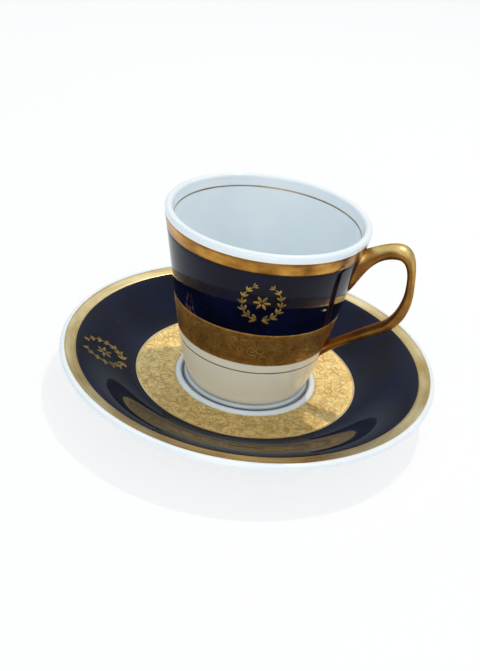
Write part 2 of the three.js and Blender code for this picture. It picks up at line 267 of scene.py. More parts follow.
# gold without streaks, for small raised shapes: scroll lines and painted motifs
def makePlainGold(name, look):
    finish, add, shader = newFinish(name, look["full"], 1, look["roughness"])
    place = add("ShaderNodeTexCoord")["Object"]
    setInputs(shader, {"Base Color": wanderTone(add, place, look["tone"], 2, look["thin"], look["full"])})
    return finish


saucerScrollLook = {"thin": "#bb9d5e", "full": "#e2ca8d", "tone": 3, "roughness": 0.55}
cupScrollLook = {"thin": "#86602e", "full": "#dcb670", "tone": 5, "roughness": 0.45}
motifLook = {"thin": "#7d6030", "full": "#c2a05c", "tone": 2, "roughness": 0.34}

porcelain = makePorcelain()
biscuit = makeBiscuit()
cobalt = makeCobalt()
cupRimGold = makeRingGold("burnished_gold_rim", cupRimLook)
saucerRimGold = makeRingGold("rubbed_gold_rim", saucerRimLook)
footLineGold = makeRingGold("thin_gold_line", footLineLook)
innerLineGold = makeRingGold("worn_gold_line", innerLineLook)
handleGold = makeHandleGold()
saucerEtchedGold = makeEtchedGold("etched_gold_pale", saucerEtchedLook)
cupEtchedGold = makeEtchedGold("etched_gold_brown", cupEtchedLook)
saucerScrollGold = makePlainGold("etched_scrolls_pale", saucerScrollLook)
cupScrollGold = makePlainGold("etched_scrolls_brown", cupScrollLook)
motifGold = makePlainGold("painted_gold_motif", motifLook)
print("finishes made:", len(bpy.data.materials))


# a tree with a geometry input and output and named inputs for its sizes, and addNode bound to it
def newTree(name, sizes):
    tree = bpy.data.node_groups.new(name, "GeometryNodeTree")
    tree.interface.new_socket("Geometry", in_out="OUTPUT", socket_type="NodeSocketGeometry")
    tree.interface.new_socket("Geometry", in_out="INPUT", socket_type="NodeSocketGeometry")
    for size, kind in sizes.items():
        tree.interface.new_socket(size, in_out="INPUT", socket_type="NodeSocket" + kind)
    add = partial(addNode, tree)
    return tree, add, add("NodeGroupInput")


# ends a tree: real meshes, shaded smooth, in one finish
def endTree(add, shape, finish):
    real = add("GeometryNodeRealizeInstances", (shape,))[0]
    smooth = add("GeometryNodeSetShadeSmooth", (real,))[0]
    done = add("GeometryNodeSetMaterial", {"Geometry": smooth, "Material": finish})[0]
    add("NodeGroupOutput", {"Geometry": done})


weldDistance = 0.001 * mm


# turns a profile in the XZ plane about the Z axis, and welds its seam and poles
def makeTurning():
    tree, add, given = newTree("turning", {"Segments": "Int"})
    line, segments = given["Geometry"], given["Segments"]
    points = add("GeometryNodeAttributeDomainSize", {"Geometry": line})["Point Count"]
    around = add("ShaderNodeMath", (segments, 1), operation="ADD")[0]
    grid = add("GeometryNodeMeshGrid", {"Vertices X": points, "Vertices Y": around})["Mesh"]
    index = add("GeometryNodeInputIndex")[0]
    row, step = (add("FunctionNodeIntegerMath", (index, around), operation=way)[0]
                 for way in ("DIVIDE_FLOOR", "MODULO"))
    place = add("GeometryNodeInputPosition")[0]
    profile = add("GeometryNodeSampleIndex", {"Geometry": line, "Value": place, "Index": row},
                  data_type="FLOAT_VECTOR", domain="POINT")[0]
    share = add("ShaderNodeMath", (step, segments), operation="DIVIDE")[0]
    angle = add("ShaderNodeMath", (share, math.tau), operation="MULTIPLY")[0]
    turned = add("ShaderNodeVectorRotate", {"Vector": profile, "Angle": angle}, rotation_type="Z_AXIS")[0]
    placed = add("GeometryNodeSetPosition", {"Geometry": grid, "Position": turned})[0]
    closed = add("GeometryNodeMergeByDistance", {"Geometry": placed, "Distance": weldDistance})[0]
    add("NodeGroupOutput", {"Geometry": closed})
    return tree


turning = makeTurning()


# a turned piece in one finish, with its lowest flat faces left in a second one
def makeTurnedPiece():
    tree, add, given = newTree("turnedPiece", {"Segments": "Int", "Finish": "Material",
                                               "Bare Finish": "Material", "Bare Below": "Float"})
    body = add("GeometryNodeGroup", (given["Geometry"], given["Segments"]), node_tree=turning)[0]
    smooth = add("GeometryNodeSetShadeSmooth", (body,))[0]
    glazed = add("GeometryNodeSetMaterial", {"Geometry": smooth, "Material": given["Finish"]})[0]
    place = add("GeometryNodeInputPosition")[0]
    height = add("ShaderNodeSeparateXYZ", (place,))[2]
    low = add("FunctionNodeCompare", (height, given["Bare Below"]), data_type="FLOAT",
              operation="LESS_THAN")[0]
    bare = add("GeometryNodeSetMaterial", {"Geometry": glazed, "Selection": low,
                                           "Material": given["Bare Finish"]})[0]
    add("NodeGroupOutput", {"Geometry": bare})
    return tree


turnedPiece = makeTurnedPiece()

# the scroll pattern that was etched into the two gold bands, in millimetres. A line is fullest at a share
# of its length and thins towards its ends. The scrolls follow a flow, and lean to either side of it. Each
# kind is given by its turns, start and end shares of the radius, and whether it runs backwards
scrollShape = {"spacing": 2.6, "radius": 1.8, "lineWidth": 0.46, "relief": 0.05, "margin": 2.1,
               "segments": 192, "densityMax": 4e6, "fullest": 0.45, "thinning": -2.2, "steps": 13, "flow": 7,
               "swing": 18, "lean": 0.65, "sizes": (0.75, 1.1),
               "kinds": [(0.55, 0.85, 1.0, False), (0.6, 0.6, 0.9, True), (0.8, 0.4, 1.0, False),
                         (0.85, 0.36, 0.9, True), (1.3, 0.2, 0.95, False)]}


# acid-etched scrolls, set out evenly over a turned strip and half sunk in it
def makeScrolls():
    form = scrollShape
    tree, add, given = newTree("etchedScrolls", {"Segments": "Int", "Spacing": "Float",
                                                 "Scroll Radius": "Float", "Line Width": "Float",
                                                 "Relief": "Float", "Finish": "Material", "Seed": "Int"})
    seed = given["Seed"]
    strip = add("GeometryNodeGroup", (given["Geometry"], given["Segments"]), node_tree=turning)[0]
    spots = add("GeometryNodeDistributePointsOnFaces",
                {"Mesh": strip, "Distance Min": given["Spacing"], "Density Max": form["densityMax"],
                 "Seed": seed}, distribute_method="POISSON")
    half = add("ShaderNodeMath", (given["Line Width"], 0.5), operation="MULTIPLY")[0]
    round4 = add("GeometryNodeCurvePrimitiveCircle", {"Resolution": 4, "Radius": half})[0]
    slim = add("ShaderNodeMath", (given["Relief"], half), operation="DIVIDE")[0]
    flatten = add("ShaderNodeCombineXYZ", (1.0, slim, 1.0))[0]
    ridge = add("GeometryNodeTransform", {"Geometry": round4, "Scale": flatten})[0]
    share = add("GeometryNodeSplineParameter")["Factor"]
    fromFullest = add("ShaderNodeMath", (share, form["fullest"]), operation="SUBTRACT")[0]
    square = add("ShaderNodeMath", (fromFullest, fromFullest), operation="MULTIPLY")[0]
    taper = add("ShaderNodeMath", (square, form["thinning"], 1.0), operation="MULTIPLY_ADD")[0]
    joined = add("GeometryNodeJoinGeometry")[0]
    for turns, *ends, back in form["kinds"]:
        start, end = (add("ShaderNodeMath", (given["Scroll Radius"], part), operation="MULTIPLY")[0]
                      for part in ends)
        spiral = add("GeometryNodeCurveSpiral",
                     {"Resolution": form["steps"], "Rotations": turns, "Start Radius": start,
                      "End Radius": end, "Height": 0.0, "Reverse": back})[0]
        line = add("GeometryNodeCurveToMesh", {"Curve": spiral, "Profile Curve": ridge,
                                               "Scale": taper, "Fill Caps": True})[0]
        kind = add("GeometryNodeGeometryToInstance", (line,))[0]
        setInputs(joined.node, (kind,))
    place = add("GeometryNodeInputPosition")[0]
    flow = add("ShaderNodeTexNoise", {"Vector": place, "Scale": perMetre(form["flow"]), "Detail": 0})[0]
    side = add("FunctionNodeRandomValue", {4: 0, 5: 1, "Seed": seed}, data_type="INT")[2]
    lean = add("ShaderNodeMath", (side, 2 * form["lean"], -form["lean"]), operation="MULTIPLY_ADD")[0]
    turn = add("ShaderNodeMath", (flow, form["swing"], lean), operation="MULTIPLY_ADD")[0]
    euler = add("ShaderNodeCombineXYZ", {2: turn})[0]
    spin = add("FunctionNodeEulerToRotation", (euler,))[0]
    facing = add("FunctionNodeRotateRotation", (spots["Rotation"], spin), rotation_space="LOCAL")[0]
    lastKind = len(form["kinds"]) - 1
    pick = add("FunctionNodeRandomValue", {4: 0, 5: lastKind, "Seed": seed}, data_type="INT")[2]
    smallest, largest = form["sizes"]
    size = add("FunctionNodeRandomValue", {2: smallest, 3: largest, "Seed": seed}, data_type="FLOAT")[1]
    laid = add("GeometryNodeInstanceOnPoints",
               {"Points": spots["Points"], "Instance": joined, "Pick Instance": True,
                "Instance Index": pick, "Rotation": facing, "Scale": size})[0]
    endTree(add, laid, given["Finish"])
    return tree


etchedScrolls = makeScrolls()


# a mesh that is one line of points, for a tree to work on
def lineMesh(name, points):
    mesh = bpy.data.meshes.new(name)
    mesh.from_pydata(points, [(i, i + 1) for i in range(len(points) - 1)], [])
    return mesh


sharpFrom = 55  # degrees between faces


# runs a tree on a mesh, keeps the result as a plain mesh, and takes the modifier off
def grow(name, mesh, tree, sizes):
    source = bpy.data.objects.new(name, mesh)
    bpy.context.scene.collection.objects.link(source)
    modifier = source.modifiers.new(tree.name, "NODES")
    modifier.node_group = tree
    sockets = {item.name: item.identifier for item in tree.interface.items_tree if item.in_out == "INPUT"}
    for size, value in sizes.items():
        modifier[sockets[size]] = value
    depsgraph = bpy.context.evaluated_depsgraph_get()
    grown = bpy.data.meshes.new_from_object(source.evaluated_get(depsgraph), depsgraph=depsgraph)
    source.modifiers.clear()
    source.data = grown
    bpy.data.meshes.remove(mesh)
    grown.name = name
    grown.set_sharp_from_angle(angle=math.radians(sharpFrom))
    return source


def arc(centre, radius, fromAngle, toAngle, steps):
    angles = [math.radians(fromAngle + (toAngle - fromAngle) * i / steps) for i in range(steps + 1)]
    return [(centre[0] + radius * math.cos(a), centre[1] + radius * math.sin(a)) for a in angles]


def spread(low, high, steps):
    return [low + (high - low) * i / steps for i in range(steps + 1)]


# moves a line of (radius, height) points to its right
def aside(line, distance):
    moved = []
    for i, (r, z) in enumerate(line):
        before, after = line[max(i - 1, 0)], line[min(i + 1, len(line) - 1)]
        along = Vector((after[0] - before[0], after[1] - before[1])).normalized()
        moved.append((r + along.y * distance, z - along.x * distance))
    return moved


# a thin ring on a surface line, whose right side is open air: it stands a little proud, with soft edges
bandShape = {"proud": 0.025, "sunk": 0.15, "edge": 0.06}


def bandProfile(line):
    front = aside(line, bandShape["proud"])
    back = aside(line, -bandShape["sunk"])

    def inFrom(a, b):
        step = Vector((b[0] - a[0], b[1] - a[1])).normalized() * bandShape["edge"]
        return (a[0] + step.x, a[1] + step.y)

    soft = [inFrom(front[0], front[1]), *front[1:-1], inFrom(front[-1], front[-2])]
    return [line[0], *soft, line[-1], *reversed(back), line[0]]


# a value at each point of a turned piece, from its radius and height in millimetres, for its finish
def markPoints(piece, name, lift, value):
    values = [value(math.hypot(v.co.x, v.co.y) / mm, (v.co.z - lift) / mm) for v in piece.data.vertices]
    piece.data.attributes.new(name, "FLOAT", "POINT").data.foreach_set("value", values)


# how far each point of a band lies across it
def markAcross(piece, line, lift):
    start, end = Vector(line[0]), Vector(line[-1])
    along = (end - start) / (end - start).length_squared
    markPoints(piece, "across", lift, lambda r, z: (Vector((r, z)) - start).dot(along))


# 1 at the middle of a hump, falling off to the given width
def hump(value, middle, width):
    return math.exp(-((value - middle) / width) ** 2)


# a turned piece that stands for a CAD node. Nothing on it is bare unless it is told up to where
def turnPiece(node, body, profile, finish, segments, lift, bareBelow=-1.0):
    points = [(r * mm, 0, z * mm + lift) for r, z in profile]
    piece = grow("visual_" + node, lineMesh(node + "_line", points), turnedPiece,
                 {"Segments": segments, "Finish": finish, "Bare Finish": biscuit, "Bare Below": bareBelow})
    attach(piece, body)
    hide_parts(node)
    return piece


# the cup, with heights above its foot, in millimetres. Bands and lines are given by their low and high edges,
# and the painted shade in the crevices by its strength and width
cupShape = {"height": 59.29, "rimRadius": 31.3, "wall": 2.4, "shoulderHeight": 19, "shoulderRadius": 24,
            "waistRadius": 19.9, "footRadius": 20.3, "footWidth": 3.8, "footBead": 1.8, "footGroove": 0.5,
            "footRecess": 1.5, "footDraft": 0.5, "floorThickness": 3.3, "floorRadius": 10, "floorRise": 12,
            "footLine": (16.1, 16.6), "etched": (19.4, 31.3), "cobalt": (31.3, 52.9), "rimBand": (52.9, 57),
            "innerLine": (55.2, 55.7), "bareBelow": 0.05, "recessRound": (0.4, 0.2), "footEdge": (0.1, 0.15),
            "grooveDepth": 0.55, "grooveDrop": 0.4, "grooveTop": 0.7, "wallStart": 1.2, "lipJoin": 0.8,
            "footShade": (0.8, 1.1), "grooveShade": (0.6, 0.35), "grooveShadeDrop": 0.2, "shadeInset": 2,
            "paintedBounceTop": 20.5, "paintedBounceDepth": 0.5, "segments": 192}

lipRadius = cupShape["wall"] / 2
lipHeight = cupShape["height"] - lipRadius
wallSlope = (cupShape["rimRadius"] - cupShape["shoulderRadius"]) / (lipHeight - cupShape["shoulderHeight"])
waistHeight = cupShape["footBead"] + cupShape["footGroove"]
waistDrop = cupShape["shoulderHeight"] - waistHeight
waistCurve = (cupShape["shoulderRadius"] - wallSlope * waistDrop - cupShape["waistRadius"]) / waistDrop ** 2


def wallRadius(height):
    drop = max(cupShape["shoulderHeight"] - height, 0)
    return cupShape["rimRadius"] - (lipHeight - height) * wallSlope - waistCurve * drop ** 2


def wallLine(low, high, steps, stand=0):
    return [(wallRadius(z) + stand, z) for z in spread(low, high, steps)]


def bezier(controls, steps):
    a, b, c = controls
    return [tuple((1 - t) ** 2 * p + 2 * t * (1 - t) * q + t * t * r for p, q, r in zip(a, b, c))
            for t in spread(0, 1, steps)]


def cupProfile():
    shape = cupShape
    wall, recess, shoulder = shape["wall"], shape["footRecess"], shape["shoulderHeight"]
    bead = shape["footBead"] / 2
    footInner = shape["footRadius"] - shape["footWidth"]
    recessEdge = footInner - shape["footDraft"]
    roundIn, roundUp = shape["recessRound"]
    edgeIn, edgeUp = shape["footEdge"]
    floor = recess + shape["floorThickness"]
    turnTop = floor + shape["floorRise"]
    wallTop = lipHeight - shape["lipJoin"]
    grooveTop = waistHeight + shape["grooveTop"]
    floorTurn = bezier([(wallRadius(turnTop) - wall, turnTop), (wallRadius(floor) - wall, floor),
                        (shape["floorRadius"], floor)], 24)
    groove = bezier([(shape["footRadius"] - bead, shape["footBead"]),
                     (shape["waistRadius"] - shape["grooveDepth"], waistHeight - shape["grooveDrop"]),
                     (wallRadius(grooveTop), grooveTop)], 8)
    return [(0, recess), (recessEdge - roundIn, recess), (recessEdge, recess - roundUp),
            (footInner - edgeIn, edgeUp), (footInner + edgeIn, 0),
            *arc((shape["footRadius"] - bead, bead), bead, -90, 90, 14), *groove[1:],
            *wallLine(waistHeight + shape["wallStart"], shoulder, 30), *wallLine(shoulder + 1, wallTop, 16),
            *arc((shape["rimRadius"] - lipRadius, lipHeight), lipRadius, 0, 180, 24),
            *reversed(wallLine(turnTop + 1, wallTop, 18, -wall)), *floorTurn,
            (shape["floorRadius"] * 0.5, floor), (0, floor)]


# painted shade on the foot and in the groove above it, where the cup sits in the saucer's well
def cupCreviceShade(radius, height):
    if radius < cupShape["footRadius"] - cupShape["shadeInset"]:
        return 0
    foot, footSpread = cupShape["footShade"]
    groove, grooveSpread = cupShape["grooveShade"]
    grooveHeight = waistHeight - cupShape["grooveShadeDrop"]
    return foot * hump(height, 0, footSpread) + groove * hump(height, grooveHeight, grooveSpread)


# painted warm bounce light on the lower outer wall, as if thrown up by the gold below
def cupPaintedBounce(radius, height):
    outside = radius > wallRadius(height) - cupShape["paintedBounceDepth"]
    return 1 if outside and waistHeight < height < cupShape["paintedBounceTop"] else 0


def makeCup():
    shape, segments = cupShape, cupShape["segments"]
    body = turnPiece("cup_body", "cup", cupProfile(), porcelain, segments, cupLift,
                     cupLift + shape["bareBelow"] * mm)
    # painted shade in the crevices round the foot
    markPoints(body, "crevice", cupLift, cupCreviceShade)
    # painted warm bounce light on the lower outer wall
    markPoints(body, "lower", cupLift, cupPaintedBounce)
    inner = [(r - shape["wall"], z) for r, z in reversed(wallLine(*shape["innerLine"], 3))]
    for node, slot, line, finish in [
            ("cup_rim_band", "burnished_gold", wallLine(*shape["rimBand"], 8), cupRimGold),
            ("cup_cobalt_band", "cobalt_glaze", wallLine(*shape["cobalt"], 16), cobalt),
            ("cup_etched_band", "etched_gold", wallLine(*shape["etched"], 16), cupEtchedGold),
            ("cup_foot_line", "burnished_gold", wallLine(*shape["footLine"], 3), footLineGold),
            ("cup_inner_line", "burnished_gold", inner, innerLineGold)]:
        band = turnPiece(node, "cup", bandProfile(line), finish, segments, cupLift)
        markAcross(band, line, cupLift)


makeCup()
print("cup turned")


# the saucer, with heights above what it stands on, in millimetres. The painted shade is in the well's corner,
# given by its strength, width and height
saucerShape = {"radius": 60.68, "height": 15, "thickness": 2.9, "lipThickness": 2.1, "floorThickness": 2.7,
               "wellFloor": 4, "wellRadius": 20.9, "beadWidth": 2.4, "beadHeight": 1.25, "footRadius": 35.6,
               "footWidth": 3, "footRound": 0.5, "footDraft": 0.7, "rimSlope": 0.24, "etchedWidth": 12.3,
               "etchedStep": 0.5, "etchedRise": 1.1, "edgeLine": 0.6, "rimBand": 3.6, "rimBandMargin": 0.2,
               "bareBelow": 0.05, "recessRound": (0.5, 0.3), "rimJoin": 0.4, "beadJoin": 0.1,
               "beadTrim": 0.12, "wellRound": (0.25, 0.03), "wellSteps": (0.6, 1.1, 1.6),
               "creviceShade": (0.85, 0.7, 0.9), "shadeInset": 0.2, "segments": 256}

saucerLip = saucerShape["lipThickness"] / 2
rimPitch = math.degrees(math.atan(saucerShape["rimSlope"]))
saucerLipCentre = (saucerShape["radius"] - saucerLip, saucerShape["height"] - saucerLip)
lipStart = arc(saucerLipCentre, saucerLip, rimPitch + 90, rimPitch - 90, 1)[0]
rimBandOuter = lipStart[0] - saucerShape["rimBandMargin"]
cobaltOuter = rimBandOuter - saucerShape["rimBand"]
cobaltOuterHeight = lipStart[1] - (lipStart[0] - cobaltOuter) * saucerShape["rimSlope"]
etchedInner = saucerShape["wellRadius"] + saucerShape["beadWidth"]
etchedOuter = etchedInner + saucerShape["etchedWidth"]
etchedSlope = saucerShape["etchedRise"] / saucerShape["etchedWidth"]
cobaltInner = etchedOuter + saucerShape["edgeLine"]
etchedInnerHeight = saucerShape["wellFloor"] + saucerShape["etchedStep"]
cobaltInnerHeight = etchedInnerHeight + (cobaltInner - etchedInner) * etchedSlope


def saucerTop(radius):
    if radius <= cobaltInner:
        return (radius, cobaltInnerHeight + (radius - cobaltInner) * etchedSlope)
    if radius >= cobaltOuter:
        return (radius, cobaltOuterHeight + (radius - cobaltOuter) * saucerShape["rimSlope"])
    width = cobaltOuter - cobaltInner
    t = (radius - cobaltInner) / width
    rise = (3 - 2 * t) * t * t
    bend = t * (1 - t) ** 2 * width * etchedSlope - t * t * (1 - t) * width * saucerShape["rimSlope"]
    return (radius, cobaltInnerHeight + (cobaltOuterHeight - cobaltInnerHeight) * rise + bend)


# runs inwards, so that the open air above is on the right of the line
def saucerLine(outer, inner, steps):
    return [saucerTop(r) for r in spread(outer, inner, steps)]


def saucerProfile():
    shape = saucerShape
    well, floor, rounding = shape["wellRadius"], shape["wellFloor"], shape["footRound"]
    slope = saucerLine(cobaltOuter, shape["footRadius"] + shape["footDraft"], 30)
    thin = aside(slope, -shape["lipThickness"])
    thick = aside(slope, -shape["thickness"])
    under = [tuple(a + (b - a) * i / 30 for a, b in zip(p, q)) for i, (p, q) in enumerate(zip(thin, thick))]
    half = shape["beadWidth"] / 2
    bead = [(well + half + half * math.cos(a), floor + shape["beadHeight"] * math.sin(a))
            for a in spread(shape["beadTrim"], math.pi - shape["beadTrim"], 14)]
    footInner = shape["footRadius"] - shape["footWidth"]
    recess, recessEdge = floor - shape["floorThickness"], footInner - shape["footDraft"]
    roundIn, roundUp = shape["recessRound"]
    wellIn, wellUp = shape["wellRound"]
    return [(0, recess), (recessEdge - roundIn, recess), (recessEdge, recess - roundUp),
            (footInner, rounding), *arc((footInner + rounding, rounding), rounding, 180, 270, 5),
            *arc((shape["footRadius"] - rounding, rounding), rounding, 270, 360, 5),
            *reversed(under), *arc(saucerLipCentre, saucerLip, rimPitch - 90, rimPitch + 90, 20),
            *saucerLine(rimBandOuter, cobaltOuter + shape["rimJoin"], 3),
            *saucerLine(cobaltOuter, cobaltInner, 40),
            *saucerLine(etchedOuter, etchedInner + shape["beadJoin"], 6), *bead,
            (well - wellIn, floor + wellUp), *((well - step, floor) for step in shape["wellSteps"]),
            (0, floor)]


# painted shade in the corner of the well, where the cup's foot stands
def saucerCreviceShade(radius, height):
    strength, width, tall = saucerShape["creviceShade"]
    corner = saucerShape["wellRadius"] - saucerShape["shadeInset"]
    return strength * hump(radius, corner, width) * hump(height, saucerShape["wellFloor"], tall)


def makeSaucer():
    shape, segments = saucerShape, saucerShape["segments"]
    body = turnPiece("saucer_body", "saucer", saucerProfile(), porcelain, segments, 0,
                     shape["bareBelow"] * mm)
    markPoints(body, "crevice", 0, saucerCreviceShade)
    for node, slot, outer, inner, steps, finish in [
            ("saucer_rim_band", "burnished_gold", rimBandOuter, cobaltOuter, 6, saucerRimGold),
            ("saucer_cobalt_band", "cobalt_glaze", cobaltOuter, cobaltInner, 40, cobalt),
            ("saucer_edge_line", "burnished_gold", cobaltInner, etchedOuter, 3, saucerRimGold),
            ("saucer_etched_band", "etched_gold", etchedOuter, etchedInner, 12, saucerEtchedGold)]:
        line = saucerLine(outer, inner, steps)
        band = turnPiece(node, "saucer", bandProfile(line), finish, segments, 0)
        markAcross(band, line, 0)


makeSaucer()
print("saucer turned")


def makeScrollBand(name, body, line, lift, finish, seed):
    points = [(r * mm, 0, z * mm + lift) for r, z in line]
    scrolls = grow(name, lineMesh(name + "_line", points), etchedScrolls,
                   {"Segments": scrollShape["segments"], "Spacing": scrollShape["spacing"] * mm,
                    "Scroll Radius": scrollShape["radius"] * mm, "Line Width": scrollShape["lineWidth"] * mm,
                    "Relief": scrollShape["relief"] * mm, "Finish": finish, "Seed": seed})
    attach(scrolls, body)


etchedLow, etchedHigh = cupShape["etched"]
proud = bandShape["proud"]
margin = scrollShape["margin"]
cupStrip = wallLine(etchedLow + margin, etchedHigh - margin, 8, proud)
saucerStrip = aside(saucerLine(etchedOuter - margin, etchedInner + margin, 8), proud)
makeScrollBand("cup_scrolls", "cup", cupStrip, cupLift, cupScrollGold, seed=4)
makeScrollBand("saucer_scrolls", "saucer", saucerStrip, 0, saucerScrollGold, seed=9)
print("scrolls etched")


# the strap handle, in the plane of the axis: x is the radius, in millimetres above the cup's foot. Widths and
# the painted highlight on the outer face are given at the five knots of its edges
handleShape = {"drop": 0.2, "reach": 15.8, "sideDrop": 13.5, "crestReach": 9.3, "crestThickness": 4.4,
               "sideThickness": 2.5, "armThickness": 3.3, "elbowInset": 6, "elbowHeight": 30, "armPitch": 36,
               "upperDrop": 4.9, "upperLength": 15, "lowerHeight": 13.9, "lowerLength": 6.5, "sink": 1.0,
               "widths": (4.6, 5.8, 5, 5, 4.6), "wearAndPaintedLight": (0.9, 1.6, 0.62, 0.55, 0.75), "roundness": 2.3,
               "sides": 48, "steps": 26, "fillet": 0.3, "filletReach": 0.8, "sharpFrom": 60}


def headed(degrees):
    return Vector((math.cos(math.radians(degrees)), math.sin(math.radians(degrees))))


# Bezier stretches through (point, heading, fullness before, fullness after)
def strapEdge(knots, steps):
    line = []
    for (a, headA, _, leave), (b, headB, arrive, _) in zip(knots, knots[1:]):
        a, b = Vector(a), Vector(b)
        chord = (b - a).length
        c, d = a + headed(headA) * chord * leave, b - headed(headB) * chord * arrive
        for t in spread(0, 1, steps)[0 if not line else 1:]:
            line.append((1 - t) ** 3 * a + 3 * t * (1 - t) ** 2 * c + 3 * t * t * (1 - t) * d + t ** 3 * b)
    return line


# the outer and the inner edge of the strap, from its upper root to its lower one
def handleEdges():
    shape = handleShape
    crest = cupShape["height"] - shape["drop"]
    crestRadius = cupShape["rimRadius"] + shape["crestReach"]
    side = cupShape["rimRadius"] + shape["reach"]
    sideHeight = crest - shape["sideDrop"]
    upperTop = cupShape["height"] - shape["upperDrop"]
    arm = shape["armPitch"] - 180
    elbow = Vector((side - shape["elbowInset"], shape["elbowHeight"]))
    elbowInside = elbow + headed(shape["armPitch"] + 90) * shape["armThickness"]

    def onWall(height):
        return (wallRadius(height) - shape["sink"], height)

    outer = [(onWall(upperTop), 32, 0, 0.4),
             ((crestRadius, crest), 0, 0.27, 0.34),
             ((side, sideHeight), -84, 0.48, 0.42),
             (elbow, arm, 0.34, 0.38),
             (onWall(shape["lowerHeight"]), -123, 0.32, 0)]
    inner = [(onWall(upperTop - shape["upperLength"]), 20, 0, 0.2),
             ((crestRadius, crest - shape["crestThickness"]), 6, 0.46, 0.3),
             ((side - shape["sideThickness"], sideHeight), -90, 0.54, 0.29),
             (elbowInside, arm, 0.34, 0.33),
             (onWall(shape["lowerHeight"] + shape["lowerLength"]), arm, 0.27, 0)]
    return strapEdge(outer, shape["steps"]), strapEdge(inner, shape["steps"])


# a value given at the five knots, at a step along the strap
def atStep(values, step):
    knot, t = divmod(step / handleShape["steps"], 1)
    ends = values[int(knot):int(knot) + 2]
    return ends[0] + (ends[-1] - ends[0]) * t


def makeHandle():
    shape = handleShape
    outer, inner = handleEdges()
    vertices, faces, outward = [], [], []
    sides, power = shape["sides"], 2 / shape["roundness"]
    for i, (out, ins) in enumerate(zip(outer, inner)):
        width, rubAndPaintedLight = atStep(shape["widths"], i), atStep(shape["wearAndPaintedLight"], i)
        middle, depth = (out + ins) / 2, (out - ins) / 2
        for k in range(sides):
            turn = math.tau * k / sides
            across, over = (math.copysign(abs(f(turn)) ** power, f(turn)) for f in (math.cos, math.sin))
            x, z = middle.x + depth.x * across, middle.y + depth.y * across
            y = width / 2 * over
            gap = max(math.hypot(x, y) - wallRadius(z), 0)  # the root swells into the wall in a small fillet
            y *= 1 + shape["fillet"] * math.exp(-gap / shape["filletReach"])
            vertices.append((x * mm, y * mm, z * mm + cupLift))
            # how far a point faces out; on the outer face scaled by the painted highlight, strongest at the
            # crest
            outward.append(across * rubAndPaintedLight if across > 0 else across)
    rows = len(outer)
    for s in range(rows - 1):
        for k in range(sides):
            a, b = s * sides + k, s * sides + (k + 1) % sides
            faces.append((a, a + sides, b + sides, b))
    faces.append(tuple(range(sides)))
    faces.append(tuple(reversed(range((rows - 1) * sides, rows * sides))))
    mesh = bpy.data.meshes.new("visual_cup_handle")
    mesh.from_pydata(vertices, [], faces)
    mesh.attributes.new("outward", "FLOAT", "POINT").data.foreach_set("value", outward)
    mesh.shade_smooth()
    mesh.set_sharp_from_angle(angle=math.radians(shape["sharpFrom"]))
    mesh.materials.append(handleGold)
    handle = bpy.data.objects.new("visual_cup_handle", mesh)
    bpy.context.scene.collection.objects.link(handle)
    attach(handle, "cup")
    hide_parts("cup_handle")


makeHandle()
print("handle lofted")

# a painted wreath, sizes in millimetres and angles in degrees. Leaves start a little ahead of their stop,
# have a width that is a share of their length, get smaller along the branch, and stand at three slants
wreathShape = {"width": 5.6, "height": 6.2, "from": -82, "to": 58, "steps": 20, "leafLength": 2.4,
               "leaves": 7, "stemWidth": 0.3, "relief": 0.1, "petals": 6, "leafAhead": 0.55, "leafWidth": 0.4,
               "leafShrink": -0.45, "slants": (-40, 0, 40), "slopeStep": 0.1}
wreaths = [{"name": "cup_wreath", "body": "cup", "azimuth": -71, "middle": 43},
           {"name": "saucer_wreath", "body": "saucer", "azimuth": 205, "middle": 46.6}]


